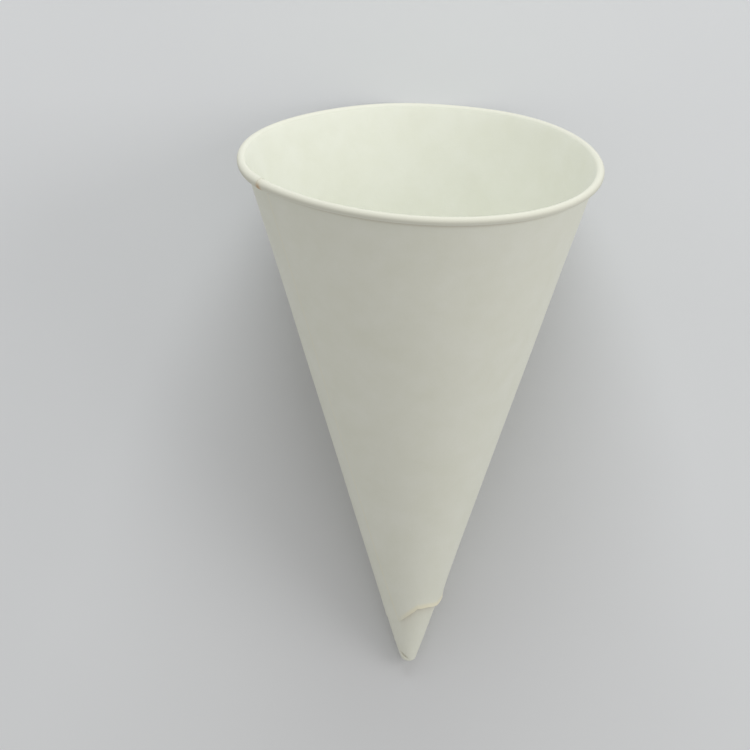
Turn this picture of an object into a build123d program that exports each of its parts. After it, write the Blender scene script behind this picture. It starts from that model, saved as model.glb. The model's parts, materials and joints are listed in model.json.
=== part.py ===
from build123d import *
from math import asin, atan2, cos, degrees, hypot, radians, sin, tan
import os

# Cone paper cup: one sheet wound twice round a cone, glued to itself, curled over at the rim and pressed
# shut at the tip. It is drawn upright first, tip down on the Z axis with its front towards -Y, and laid
# on its side at the end, as it comes to rest on a table.

# The cone, in millimetres and degrees. The curl is drawn in narrow flats, and where the cup lies on its
# bead, the soft bead has a small flat spot
rim_diameter = 70.0
cup_height = 103.0
ply = 0.16
plies = 2
bead_diameter = 1.65
curl_turn = 285.0
curl_flat = 0.4
rest_flat = 0.18

# The pressed tip, whose outside shows below the hem, inside the outer turn
tip_diameter = 2.8
tip_rounding = 0.7
tip_floor = 4.0
tip_inset = 0.1
tip_top = 22.0

# The lap seam: the straight outer edge of the sheet, which passes the axis at a small offset
seam_azimuth = -67.5
seam_offset = 2.9

# The hem at the sheet's lower corner, seen from the front, and how far it stands off the turn below
hem_corner_height = 9.3
hem_heights = (12.7, 12.35, 13.6)
hem_place_shares = (0.2, 0.8, 1.1)
hem_lift = 0.6
hem_lift_azimuth = 35.0
hem_lift_top = 30.0

# The crease where the end of the tip is folded over
crease_width = 0.35
crease_depth = 0.5
crease_length = 1.6
crease_height = 1.6
crease_azimuth = -33.0
crease_tilt = 40.0

# One overrun serves every cut
overrun = 4.0

# The outside of the wall runs from just outside the tip to the inside of the curl
wall = plies * ply
bead_radius = bead_diameter / 2
curl_radius = bead_radius - wall
bead_place = rim_diameter / 2 - bead_radius
bead_height = cup_height - bead_radius
tip_radius = tip_diameter / 2
foot_radius = tip_radius + tip_inset
slant = atan2(bead_place - foot_radius, bead_height)
slant -= asin(curl_radius / hypot(bead_place - foot_radius, bead_height))
wall_across = wall / cos(slant)
seam_turn = Rot(Z=90 + seam_azimuth)


def outside(height):
    """Radius of the outside of the wall at a height above the tip."""
    return foot_radius + height * tan(slant)


def curl(radius):
    """Points of the section along the curl of the rim, at a radius from the middle of its bead."""
    flats = round(radius * radians(curl_turn) / curl_flat)
    angles = [radians(180 - curl_turn * step / flats) - slant for step in range(flats + 1)]
    return [(bead_place + radius * cos(angle), bead_height + radius * sin(angle)) for angle in angles]


def wound_section():
    """Half section through the wall and the open curl."""
    foot = [(outside(tip_floor), tip_floor), (outside(tip_floor) - wall_across, tip_floor)]
    line = Polyline(*curl(bead_radius), *reversed(curl(curl_radius)), *foot, close=True)
    return make_face(Plane.XZ * line)


def tip_cone():
    """The turns inside the hem: a closed end, pressed round, and a thick wall up inside the outer turn."""
    lining = wall_across + ply
    line = Polyline((0, 0), (tip_radius, 0), (outside(tip_top) - tip_inset, tip_top),
                    (outside(tip_top) - lining, tip_top), (outside(tip_floor) - lining, tip_floor),
                    (0, tip_floor), close=True)
    cone = revolve(make_face(Plane.XZ * line), Axis.Z)
    return fillet(cone.edges().group_by(Axis.Z)[0], tip_rounding)


def inner_turn():
    """All that lies inside the outer face of the turn below the lap, as a solid with its bead filled."""
    line = Polyline((0, 0), (foot_radius, 0), (outside(bead_height), bead_height), (0, bead_height),
                    close=True)
    bead = Polyline(*curl(bead_radius), close=True)
    return revolve(make_face(Plane.XZ * line), Axis.Z) + revolve(make_face(Plane.XZ * bead), Axis.Z)


def beside_seam():
    """The space on the far side of the sheet's outer edge."""
    reach = rim_diameter / 2 + overrun
    corner = (Align.MAX, Align.MIN, Align.MIN)
    space = Box(reach, reach, cup_height + 2 * overrun, align=corner)
    return seam_turn * Pos(0, -seam_offset, -overrun) * space


def below_hem():
    """The space below the hem, which starts at the corner where the seam meets it."""
    corner_radius = outside(hem_corner_height)
    corner_azimuth = radians(seam_azimuth) + asin(seam_offset / corner_radius)
    corner_place = corner_radius * sin(corner_azimuth)
    hem = [(share * outside(hem_heights[0]), height) for share, height in zip(hem_place_shares, hem_heights)]
    left = corner_place - overrun
    right = hem[-1][0] + overrun
    line = Polyline((left, hem_corner_height), (corner_place, hem_corner_height), *hem, (right, hem[-1][1]),
                    (right, -overrun), (left, -overrun), close=True)
    return extrude(make_face(Plane.XZ * line), right, both=True)


def hem_lip():
    """The lower end of the outer turn, on a cone moved towards the lifted side and buried at its top."""
    length = hem_lift_top - hem_corner_height
    standing = (Align.CENTER, Align.CENTER, Align.MIN)
    low = outside(hem_corner_height)
    high = outside(hem_lift_top)
    lip = Rot(Z=hem_lift_azimuth) * Pos(0, -hem_lift, 0) * Cone(low, high - hem_lift, length, align=standing)
    buried = Cone(low - ply, high - ply, length, align=standing)
    return Pos(0, 0, hem_corner_height) * (lip - buried) - below_hem() - beside_seam()


def crease():
    """A thin slot across the side of the tip's end, aslant, where the paper was folded over."""
    slot = Rot(Y=crease_tilt) * Box(crease_length, 2 * crease_depth, crease_width)
    return Rot(Z=crease_azimuth) * Pos(0, -outside(crease_height), crease_height) * slot


def rest_angle():
    """Angle between the axis and the table, which meets the bead's flat spot and the round end of the tip."""
    tip_place = tip_radius - tip_rounding * (1 - sin(slant)) / cos(slant)
    run = bead_height - tip_rounding
    rise = bead_place - tip_place
    return atan2(rise, run) + asin((bead_radius - rest_flat - tip_rounding) / hypot(run, rise))


def below_table():
    """The space below the table, under the bead of the lying cup."""
    angle = rest_angle()
    place = bead_height * cos(angle) + bead_place * sin(angle)
    depth = bead_place * cos(angle) - bead_height * sin(angle) + bead_radius - rest_flat
    space = Box(rim_diameter, 2 * bead_diameter, overrun, align=(Align.CENTER, Align.CENTER, Align.MAX))
    return Pos(0, place, -depth) * space


# Two half turns: the second turns about an axis moved by half a ply, so it ends one ply further out
lap_axis = Axis((-ply / 2, 0, 0), (0, 0, 1))
first_half = seam_turn * revolve(wound_section(), Axis.Z, 180)
second_half = seam_turn * revolve(wound_section(), lap_axis, -180)
second_half -= beside_seam() - inner_turn()
cup = first_half + second_half - below_hem() + tip_cone() + hem_lip() - crease()

# Laid on its side with the front up and the mouth towards +Y, over the middle of its own footprint
laid = Rot(X=degrees(rest_angle()) - 90) * cup - below_table()
box = laid.bounding_box()
laid = Pos(-box.center().X, -box.center().Y, -box.min.Z) * laid

os.makedirs("parts", exist_ok=True)
export_step(laid, "parts/cone_cup.step")
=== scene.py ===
import json
from math import asin, atan2, cos, hypot, pi, radians, sin, tan

import bmesh
import bpy
import numpy as np
from mathutils import Matrix, Vector, noise


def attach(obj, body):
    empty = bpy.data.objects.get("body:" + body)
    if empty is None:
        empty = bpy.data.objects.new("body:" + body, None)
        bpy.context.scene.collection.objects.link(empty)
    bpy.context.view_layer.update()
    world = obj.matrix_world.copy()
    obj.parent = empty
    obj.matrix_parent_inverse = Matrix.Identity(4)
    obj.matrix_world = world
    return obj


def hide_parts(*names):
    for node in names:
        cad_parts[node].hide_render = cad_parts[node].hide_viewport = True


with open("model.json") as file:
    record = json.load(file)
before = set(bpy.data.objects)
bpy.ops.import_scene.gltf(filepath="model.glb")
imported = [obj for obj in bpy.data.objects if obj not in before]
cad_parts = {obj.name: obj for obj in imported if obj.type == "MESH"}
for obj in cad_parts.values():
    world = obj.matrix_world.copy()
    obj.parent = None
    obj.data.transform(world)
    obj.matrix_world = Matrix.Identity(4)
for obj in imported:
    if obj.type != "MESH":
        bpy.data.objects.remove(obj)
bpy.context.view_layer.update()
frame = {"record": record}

MM = 0.001
FULL_TURN = 360.0

# The cup's own sizes, in millimetres and degrees, as in the part's source, but with the seam turned by one
# degree to where the photograph shows it. The cup is built upright, tip down on the Z axis, and azimuths
# are counted from its front (-Y) towards its right (+X)
RIM_DIAMETER = 70.0
CUP_HEIGHT = 103.0
PLY = 0.16
PLIES = 2
BEAD_RADIUS = 0.825
CURL_TURN = 285.0
TIP_RADIUS = 1.4
TIP_INSET = 0.1
TIP_ROUNDING = 0.7
TIP_FLOOR = 4.0
TIP_TOP = 22.0
SEAM_AZIMUTH = -66.5
SEAM_OFFSET = 2.9
HEM_CORNER = 9.3

# The hem round the outer turn, by turns from the seam: its heights above the tip, the shares of its lip's
# lift, the shares of the step down to the tip inside it, and how ragged it is
HEM_TURNS = (0, 29, 50, 71, 93, 122, 142, 170, 200, 234, 360)
HEM_HEIGHTS = (HEM_CORNER, 11.3, 13.0, 13.15, 12.8, 13.7, 13.6, 12.4, 12.65, HEM_CORNER, HEM_CORNER)
LIP_TURNS = (0, 12, 30, 60, 130, 200, 290, 360)
LIP_SHARES = (0, 0.5, 0.8, 1, 1, 0.5, 0.1, 0)
INSET_TURNS = (0, 30, 200, 290, 360)
INSET_SHARES = (0, 1, 1, 0, 0)
RAGGED = 0.05
RAGGED_SIZES = (0.9, 2.7)

# The lip of the hem: how it lifts and flares off the turn below, how deep its underside goes, and the band
# of bare paper along its edge
LIP_LIFT = 0.25
LIP_LIFT_REACH = 7.0
LIP_FLARE = 0.3
LIP_FLARE_REACH = 1.1
LIP_UNDERCUT = 2.5
LIP_BAND = 0.8
LIP_BAND_BLUR = 0.14

# The mouth is a little out of round, except where the cup lies on it, it leans to one side, and the front
# of the wall is faintly wavy
OVAL = 0.11
OVAL_AZIMUTH = -7.0
LOBES = 0.7
LOBE_COUNT = 3
LOBE_AZIMUTH = 33.0
LEAN = -1.1
REST_REACH = 24.0
WAVE = 0.22
WAVE_SIZE = 24.0

# The rim at the seam: a notch just after it, a thicker bead before and after it, and a flare of the wall
NOTCH_DEPTH_SHARE = 0.2
NOTCH_WIDTH = 0.5
LAP_BULGE_SHARES = (0.5, 0.45)
LAP_BULGE_REACH = 8.0
LAP_BULGE_GROWTH_SHARE = 0.5
FLARE = 0.5
FLARE_AZIMUTH = -69.0
FLARE_REACH = 15.0
FLARE_FADE = 8

# The glue stain on the bead: its place after the seam and below the middle of the bead, and its half sizes
STAIN_PLACE = 0.5
STAIN_DROP = 0.6
STAIN_LENGTH = 0.7
STAIN_HEIGHT = 0.8

# The bare edge at the seam, painted shade on the bead's top, and painted shade below the bead and the hem
SEAM_EDGE = 0.5
SEAM_EDGE_WIDTH = 0.25
RIM_SHADE_SHARE = 0.75
RIM_SHADE_POWER = 0.5
CREVICE_DROP = 1.35
CREVICE_WIDTH = 0.35
CREVICE_SHADE = 0.6
HEM_SHADE = 0.7
HEM_SHADE_REACH = 1.0

# The inside bottom, a shallow point in the shade
BOTTOM_POINT = 1.6
BOTTOM_SHADE = 0.4

# The pressed tip: the crease where its end is folded over, the low flap below it, and the skewed end
CREASE_AZIMUTH = -33.0
CREASE_HEIGHT = 1.42
CREASE_TILT = 40.0
CREASE_LENGTH = 2.2
CREASE_END_POWER = 4
CREASE_WIDTH = 0.19
CREASE_DEPTH = 0.36
CREASE_SHADE = 0.55
FLAP_RISE = 0.05
FLAP_DROP = 0.57
FLAP_WIDTH = 0.475
PINCH = 0.1
PINCH_TOP = HEM_CORNER / 2
END_SKEW = 0.15
END_SKEW_TOP = 3.0

# How finely the mesh is divided: columns, rows, the powers that pack some of the rows, and the heights of
# the fine bands below the rim and above the hem
COLUMNS = 384
SEAM_SPACING_SHARE = 0.2
ROWS = {"bottom": 8, "inside": 46, "curl": 26, "core": 12, "collar": 16, "outside": 44, "lip": 16,
        "undercut": 6, "tip": 40, "end": 8, "flat": 4}
PACKING = {"inside": 0.9, "collar": 1.5, "lip": 1.6, "tip": 1.5}
COLLAR = 4.0
LIP_ROWS_TOP = 3.3
MERGE_DISTANCE = 0.0005
SHARP_ANGLE = 50.0

# The paper: its two tones, and the colours that each mask lays over them, in this order
PAPER_TONES = ((0.78, 0.79, 0.698), (0.81, 0.82, 0.743))
# The rim colour is painted shade on the bead's top and the inside bottom; the shade colour is painted shade
MASK_COLOURS = {"rim": (0.67, 0.665, 0.575), "shade": (0.58, 0.53, 0.44), "edge": (0.84, 0.805, 0.64),
                "stain": (0.58, 0.39, 0.21)}
CLOUDS = {"Scale": 160.0, "Detail": 4.0, "Roughness": 0.6}
FIBRES = {"Scale": 2600.0, "Detail": 3.0, "Roughness": 0.65}
FIBRE_BUMP = {"Strength": 0.25, "Distance": 0.00006}
PAPER_ROUGHNESS = (0.72, 0.88)
PAPER_SPECULAR = 0.3
TONE_PLACES = (0.3, 0.7)

# The colour sockets of a mix node
MIX_FIRST = 6
MIX_SECOND = 7
MIX_RESULT = 2

# The floor, in metres, and the light: place, size, power and colour of each lamp
FLOOR_REACH = 3.0
FLOOR_TONES = ((0.65, 0.66, 0.68), (0.68, 0.69, 0.71))
FLOOR_CLOUDS = {"Scale": 9.0, "Detail": 3.0}
FLOOR_ROUGHNESS = 0.9
FLOOR_SPECULAR = 0.1
LAMPS = {"key": ((0.0, 0.80, 0.45), 0.5, 5.1, (0.95, 0.985, 1.0)),
         "side": ((0.75, 0.15, 0.48), 0.5, 1.75, (1.0, 0.99, 0.97))}
WORLD_COLOUR = (1.0, 0.985, 0.95)
WORLD_STRENGTH = 0.54

# The camera of the photograph, from the middle of the rim: millimetres, degrees and pixels
IMAGE_SIZE = 750
FOCAL_PIXELS = 6628.0
VIEW_ELEVATION = 20.108
VIEW_ROLL = 2.387
VIEW_DISTANCE = 1261.8
VIEW_RIGHT = 10.463
VIEW_UP = 40.375
SENSOR_WIDTH = 36.0

wall = PLIES * PLY
bead_place = RIM_DIAMETER / 2 - BEAD_RADIUS
bead_height = CUP_HEIGHT - BEAD_RADIUS
foot_radius = TIP_RADIUS + TIP_INSET
slant = atan2(bead_place - foot_radius, bead_height)
slant -= asin((BEAD_RADIUS - wall) / hypot(bead_place - foot_radius, bead_height))
wall_across = wall / cos(slant)


def row_frame():
    """The matrix from the upright cup, in millimetres, to its place on the floor, in metres."""
    seat = next(m for m in frame["record"]["mounts"] if m["name"] == "nesting_seat")
    across = Vector((1, 0, 0))
    along = Vector(seat["axis"]).normalized()
    back = along.cross(across)
    turn = Matrix((across, back, along)).transposed().to_4x4()
    to_rim = Matrix.Translation(Vector(seat["pos_m"]))
    from_rim = Matrix.Translation((0, 0, -bead_height))
    return to_rim @ turn @ Matrix.Scale(MM, 4) @ from_rim


def outside(height):
    """Radius of the outside of the wall at a height above the tip."""
    return foot_radius + height * tan(slant)


def seam_azimuth(height):
    """Azimuth of the sheet's straight outer edge, which ends at the hem's corner."""
    radius = outside(np.maximum(height, HEM_CORNER))
    return SEAM_AZIMUTH + np.degrees(np.arcsin(SEAM_OFFSET / radius))


def shares(count, power=1.0):
    """Shares from 0 to 1, packed towards 0 by a power above 1."""
    return np.linspace(0, 1, count) ** power


def hill(distance, width):
    """A smooth hill, 1 at distance 0, which fades within about twice its width."""
    return np.exp(-(distance / width) ** 2)


def wrap(angle):
    """An angle in radians, brought to within half a turn of 0."""
    return (angle + pi) % (2 * pi) - pi


def spread(points, scale):
    """Smooth noise between -1 and 1 at points given in millimetres."""
    return np.array([noise.noise(Vector(p) / scale) for p in points])


def column_turns():
    """Turn of each column from the seam, packed towards the seam, which is both the first and the last."""
    place = np.linspace(0, 1, COLUMNS + 1)
    return FULL_TURN * (place - (1 - SEAM_SPACING_SHARE) * np.sin(2 * pi * place) / (2 * pi))


turns = column_turns()
after_seam = turns < FULL_TURN / 2
step = PLY * (1 - turns / FULL_TURN)
lip_share = np.interp(turns, LIP_TURNS, LIP_SHARES)
inset = TIP_INSET * np.interp(turns, INSET_TURNS, INSET_SHARES)


def hem_line():
    """Height of the hem at each column, a little ragged away from the seam."""
    height = np.interp(turns, HEM_TURNS, HEM_HEIGHTS)
    azimuth = np.radians(turns)
    radius = outside(height)
    points = np.stack([radius * np.cos(azimuth), radius * np.sin(azimuth), 0 * azimuth], -1)
    return height + RAGGED * lip_share * sum(spread(points, size) for size in RAGGED_SIZES)


hem = hem_line()


def row(radius, height, edge=0.0, rim=0.0, shade=0.0):
    """One row of the mesh: radius, height, azimuth and the masks of the paper's finish, at each column."""
    azimuth = np.radians(seam_azimuth(height) + turns)
    values = (radius, height, azimuth, edge, rim, shade)
    return np.stack([np.broadcast_to(value, turns.shape) for value in values], -1)


def inside_rows():
    """The bottom above the pressed tip and the inside of the wall, up to the curl."""
    rows = []
    lining = wall_across + PLY
    for share in shares(ROWS["bottom"]):
        height = BOTTOM_POINT + share * (TIP_FLOOR - BOTTOM_POINT)
        radius = share * (outside(TIP_FLOOR) - lining)
        # Painted shade: the rim colour over the whole bottom, and the shade colour darker towards its point
        rows.append(row(radius, height, rim=1, shade=BOTTOM_SHADE * (1 - share)))
    top = bead_height + BEAD_RADIUS * sin(slant)
    for share in shares(ROWS["inside"], PACKING["inside"])[1:]:
        height = TIP_FLOOR + share * (top - TIP_FLOOR)
        thinned = np.clip((height - TIP_FLOOR) / (TIP_TOP - TIP_FLOOR), 0, 1)
        rows.append(row(outside(height) - lining + thinned * (PLY + step), height))
    return rows


def curl_rows():
    """The curl of the rim: round its outside, over the cut edge, and back along its inside."""
    before = np.radians(FULL_TURN - turns) * bead_place
    after = np.radians(turns) * bead_place
    size = 1 - NOTCH_DEPTH_SHARE * hill(after, NOTCH_WIDTH)
    size += LAP_BULGE_SHARES[0] * hill(before, LAP_BULGE_REACH)
    size += LAP_BULGE_SHARES[1] * np.exp(-after / LAP_BULGE_REACH) * after_seam
    outer = [(share, BEAD_RADIUS) for share in shares(ROWS["curl"])[1:]]
    inner = [(share, BEAD_RADIUS - wall) for share in shares(ROWS["core"])[::-1]]
    rows = []
    for share, radius in outer + inner:
        angle = pi - slant - radians(CURL_TURN) * share
        reach = radius * (1 + (size - 1) * min(1, share / LAP_BULGE_GROWTH_SHARE))
        # Painted shade over the top of the curl, which dims its highlight
        painted_top_shade = sin(pi * share / RIM_SHADE_SHARE) ** RIM_SHADE_POWER if share < RIM_SHADE_SHARE else 0
        rows.append(row(bead_place + step + reach * cos(angle), bead_height + reach * sin(angle), rim=painted_top_shade))
    return rows


def lip_rise(above):
    """How far the lip of the hem stands off the cone, at a distance above the hem."""
    lift = LIP_LIFT * np.exp(-above / LIP_LIFT_REACH)
    flare = LIP_FLARE * np.exp(-above / LIP_FLARE_REACH)
    return lip_share * (lift + flare)


def outside_rows():
    """The outside of the wall from the curl to the hem, the hem's edge, and the underside of its lip."""
    rows = []
    top = bead_height + (BEAD_RADIUS - wall) * sin(slant)
    middle = top - COLLAR - hem - LIP_ROWS_TOP
    collar = [top - hem - COLLAR * share for share in shares(ROWS["collar"], PACKING["collar"])]
    upper = [LIP_ROWS_TOP + share * middle for share in shares(ROWS["outside"])[::-1]]
    lower = [np.full_like(hem, LIP_ROWS_TOP * share) for share in shares(ROWS["lip"], PACKING["lip"])[::-1]]
    for above in collar[1:] + upper[1:] + lower[1:]:
        height = hem + above
        hem_band = lip_share / (1 + np.exp((above - LIP_BAND) / LIP_BAND_BLUR))
        seam_band = SEAM_EDGE * hill(np.radians(turns) * outside(height), SEAM_EDGE_WIDTH) * after_seam
        crevice = CREVICE_SHADE * hill(top - height - CREVICE_DROP, CREVICE_WIDTH)
        radius = outside(height) + step + lip_rise(above)
        rows.append(row(radius, height, edge=np.maximum(hem_band, seam_band), shade=crevice))
    for share in shares(ROWS["undercut"]):
        above = share * LIP_UNDERCUT
        height = hem + above
        tip_face = outside(height) - inset
        gap = np.maximum(outside(height) + step + lip_rise(above) - PLY - tip_face, 0)
        rows.append(row(tip_face + gap * (1 - share), height, edge=(1 - share) * lip_share, shade=share))
    return rows


def tip_rows():
    """The pressed tip inside the hem, round its end to the axis."""
    rows = []
    round_top = TIP_ROUNDING * (1 - sin(slant))
    round_place = TIP_RADIUS - round_top / cos(slant)
    for share in shares(ROWS["tip"], PACKING["tip"])[-2:0:-1]:
        height = round_top + share * (hem + LIP_UNDERCUT - round_top)
        shade = HEM_SHADE * lip_share * np.exp(-np.maximum(hem - height, 0) / HEM_SHADE_REACH)
        rows.append(row(outside(height) - TIP_INSET + (TIP_INSET - inset) * share, height, shade=shade))
    for share in shares(ROWS["end"]):
        angle = -slant - share * (pi / 2 - slant)
        rows.append(row(round_place + TIP_ROUNDING * cos(angle), TIP_ROUNDING * (1 + sin(angle))))
    for share in shares(ROWS["flat"])[-2::-1]:
        rows.append(row(share * round_place, 0))
    return rows


def crease(radius, height, azimuth):
    """Radial change at the tip where its end is folded over: a groove, and a low flap on one side of it."""
    along = radius * (azimuth - radians(CREASE_AZIMUTH))
    up = height - CREASE_HEIGHT
    tilt = radians(CREASE_TILT)
    across = along * sin(tilt) + up * cos(tilt)
    run = along * cos(tilt) - up * sin(tilt)
    window = np.exp(-(run / (CREASE_LENGTH / 2)) ** CREASE_END_POWER)
    groove = CREASE_DEPTH * hill(across, CREASE_WIDTH)
    flap = FLAP_RISE * hill(across + FLAP_DROP, FLAP_WIDTH)
    return window * (flap - groove)


def paper_grid():
    """Upright positions of the whole mesh, row by row, and the masks of its finish."""
    grid = np.array(inside_rows() + curl_rows() + outside_rows() + tip_rows())
    radius, height, azimuth, edge, rim, shade = np.moveaxis(grid, -1, 0)
    line = np.arange(len(grid))[:, None]
    around = np.stack([np.sin(azimuth), -np.cos(azimuth), 0 * azimuth], -1)
    points = around * radius[..., None]
    points[..., 2] = height

    share = np.clip(height / CUP_HEIGHT, 0, 1)
    wave = spread(points.reshape(-1, 3), WAVE_SIZE).reshape(radius.shape)
    front = (1 + np.cos(azimuth)) / 2
    unloaded = 1 - hill(pi - np.abs(wrap(azimuth)), radians(REST_REACH))
    oval = OVAL * np.cos(2 * (azimuth - radians(OVAL_AZIMUTH)))
    oval += LOBES * np.cos(LOBE_COUNT * (azimuth - radians(LOBE_AZIMUTH)))
    flare = hill(wrap(azimuth - radians(FLARE_AZIMUTH)), radians(FLARE_REACH))
    change = share * (unloaded * oval + front * WAVE * wave) + FLARE * share ** FLARE_FADE * flare

    on_tip = (height < PINCH_TOP) & (line > len(grid) / 2)
    dent = on_tip * crease(radius, height, wrap(azimuth))
    pinch = on_tip * PINCH * np.cos(2 * azimuth) * (1 - np.clip(height / PINCH_TOP, 0, 1))
    change = (change + dent + pinch) * np.clip(radius / TIP_ROUNDING, 0, 1)
    shade = np.maximum(shade, CREASE_SHADE * np.clip(-dent / CREASE_DEPTH, 0, 1))

    outer = line > ROWS["bottom"] + ROWS["inside"]
    along_rim = hill(wrap(np.radians(turns)) * bead_place - STAIN_PLACE, STAIN_LENGTH)
    stain = outer * along_rim * hill(height - bead_height + STAIN_DROP, STAIN_HEIGHT)

    points += around * change[..., None]
    left = np.clip(-points[..., 0] / TIP_RADIUS, 0, 1)
    points[..., 2] += on_tip * END_SKEW * left * (1 - np.clip(height / END_SKEW_TOP, 0, 1))
    points[..., 0] += LEAN * share
    return points, {"edge": edge, "stain": stain, "rim": rim, "shade": shade}


def paper_cup():
    """The dressed cup: one closed mesh whose seam is the strip between its last column and its first."""
    points, masks = paper_grid()
    lay = row_frame()
    bm = bmesh.new()
    for name in masks:
        bm.verts.layers.float.new(name)
    layers = [(bm.verts.layers.float[name], mask) for name, mask in masks.items()]
    verts = []
    for i, line in enumerate(points):
        verts.append([])
        for j, point in enumerate(line):
            place = lay @ Vector(point)
            place.z = max(place.z, 0)
            vert = bm.verts.new(place)
            for layer, mask in layers:
                vert[layer] = mask[i, j]
            verts[i].append(vert)
    for low, high in zip(verts, verts[1:]):
        for j in range(len(low)):
            bm.faces.new((low[j - 1], low[j], high[j], high[j - 1]))
    bmesh.ops.remove_doubles(bm, verts=bm.verts, dist=MERGE_DISTANCE * MM)
    bmesh.ops.recalc_face_normals(bm, faces=bm.faces)
    for face in bm.faces:
        face.smooth = True
    for edge in bm.edges:
        edge.smooth = edge.calc_face_angle(0) < radians(SHARP_ANGLE)
    mesh = bpy.data.meshes.new("paper_cup")
    bm.to_mesh(mesh)
    bm.free()
    made = bpy.data.objects.new("paper_cup", mesh)
    bpy.context.scene.collection.objects.link(made)
    return made


def add_node(tree, kind, **settings):
    """A shader node with its plain settings, and its input sockets where the name is one."""
    made = tree.nodes.new(kind)
    for name, value in settings.items():
        socket = made.inputs.get(name)
        if socket is None:
            setattr(made, name, value)
        else:
            socket.default_value = value
    return made


def ramp(tree, source, colours):
    """A colour ramp between two tones on a noise value."""
    made = add_node(tree, "ShaderNodeValToRGB")
    for stop, place, colour in zip(made.color_ramp.elements, TONE_PLACES, colours):
        stop.position = place
        stop.color = (*colour, 1)
    tree.links.new(source, made.inputs["Fac"])
    return made.outputs["Color"]


def blend(tree, factor, first, second):
    """One colour over another by a mask."""
    made = add_node(tree, "ShaderNodeMix", data_type="RGBA")
    tree.links.new(factor, made.inputs["Factor"])
    tree.links.new(first, made.inputs[MIX_FIRST])
    made.inputs[MIX_SECOND].default_value = (*second, 1)
    return made.outputs[MIX_RESULT]


def paper_material():
    """Matte off-white paper: cloudy formation, fine fibres, a warm bare edge, a small glue stain and
    painted shade.
    """
    material = bpy.data.materials.new("cup_paper")
    material.use_nodes = True
    tree = material.node_tree
    shader = tree.nodes["Principled BSDF"]
    place = add_node(tree, "ShaderNodeTexCoord").outputs["Object"]
    cloud = add_node(tree, "ShaderNodeTexNoise", **CLOUDS)
    fibre = add_node(tree, "ShaderNodeTexNoise", **FIBRES)
    for texture in (cloud, fibre):
        tree.links.new(place, texture.inputs["Vector"])
    paper = ramp(tree, cloud.outputs["Fac"], PAPER_TONES)
    for name, colour in MASK_COLOURS.items():
        mask = add_node(tree, "ShaderNodeAttribute", attribute_name=name)
        paper = blend(tree, mask.outputs["Fac"], paper, colour)
    tree.links.new(paper, shader.inputs["Base Color"])
    rough = add_node(tree, "ShaderNodeMapRange")
    rough.inputs["To Min"].default_value, rough.inputs["To Max"].default_value = PAPER_ROUGHNESS
    tree.links.new(fibre.outputs["Fac"], rough.inputs["Value"])
    tree.links.new(rough.outputs["Result"], shader.inputs["Roughness"])
    shader.inputs["Specular IOR Level"].default_value = PAPER_SPECULAR
    bump = add_node(tree, "ShaderNodeBump", **FIBRE_BUMP)
    tree.links.new(fibre.outputs["Fac"], bump.inputs["Height"])
    tree.links.new(bump.outputs["Normal"], shader.inputs["Normal"])
    return material


def floor():
    """A plain pale floor."""
    mesh = bpy.data.meshes.new("floor")
    corners = [(x * FLOOR_REACH, y * FLOOR_REACH, 0) for x, y in ((-1, -1), (1, -1), (1, 1), (-1, 1))]
    mesh.from_pydata(corners, [], [(0, 1, 2, 3)])
    made = bpy.data.objects.new("floor", mesh)
    bpy.context.scene.collection.objects.link(made)
    material = bpy.data.materials.new("pale_floor")
    material.use_nodes = True
    tree = material.node_tree
    shader = tree.nodes["Principled BSDF"]
    cloud = add_node(tree, "ShaderNodeTexNoise", **FLOOR_CLOUDS)
    tree.links.new(add_node(tree, "ShaderNodeTexCoord").outputs["Object"], cloud.inputs["Vector"])
    tree.links.new(ramp(tree, cloud.outputs["Fac"], FLOOR_TONES), shader.inputs["Base Color"])
    shader.inputs["Roughness"].default_value = FLOOR_ROUGHNESS
    shader.inputs["Specular IOR Level"].default_value = FLOOR_SPECULAR
    mesh.materials.append(material)


def area_light(name, place, size, power, colour):
    """A square soft light that faces the cup."""
    data = bpy.data.lights.new(name, "AREA")
    data.size = size
    data.energy = power
    data.color = colour
    made = bpy.data.objects.new(name, data)
    made.location = place
    made.rotation_euler = (-Vector(place)).to_track_quat("-Z", "Y").to_euler()
    bpy.context.scene.collection.objects.link(made)


def studio_world():
    """Even light from all round."""
    world = bpy.data.worlds.new("studio")
    world.use_nodes = True
    background = world.node_tree.nodes["Background"]
    background.inputs["Color"].default_value = (*WORLD_COLOUR, 1)
    background.inputs["Strength"].default_value = WORLD_STRENGTH
    bpy.context.scene.world = world


def camera():
    """The photograph's camera, which looks down on the lying cup."""
    elevation = radians(VIEW_ELEVATION)
    roll = radians(VIEW_ROLL)
    back = Vector((0, -cos(elevation), sin(elevation)))
    level = Vector((1, 0, 0))
    rise = Vector((0, sin(elevation), cos(elevation)))
    right = cos(roll) * level + sin(roll) * rise
    up = cos(roll) * rise - sin(roll) * level
    place = back * VIEW_DISTANCE - right * VIEW_RIGHT - up * VIEW_UP + Vector((0, 0, bead_height))
    lay = row_frame()
    turn = lay.to_3x3() @ Matrix((right, up, back)).transposed()
    data = bpy.data.cameras.new("camera")
    data.sensor_width = SENSOR_WIDTH
    data.lens = FOCAL_PIXELS / IMAGE_SIZE * SENSOR_WIDTH
    made = bpy.data.objects.new("camera", data)
    made.matrix_world = Matrix.Translation(lay @ place) @ turn.normalized().to_4x4()
    bpy.context.scene.collection.objects.link(made)
    bpy.context.scene.camera = made


cup = paper_cup()
cup.data.materials.append(paper_material())
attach(cup, "root")
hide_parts("cone_cup")

floor()
camera()
for lamp, setting in LAMPS.items():
    area_light(lamp, *setting)
studio_world()
bpy.context.scene.view_settings.view_transform = "Standard"
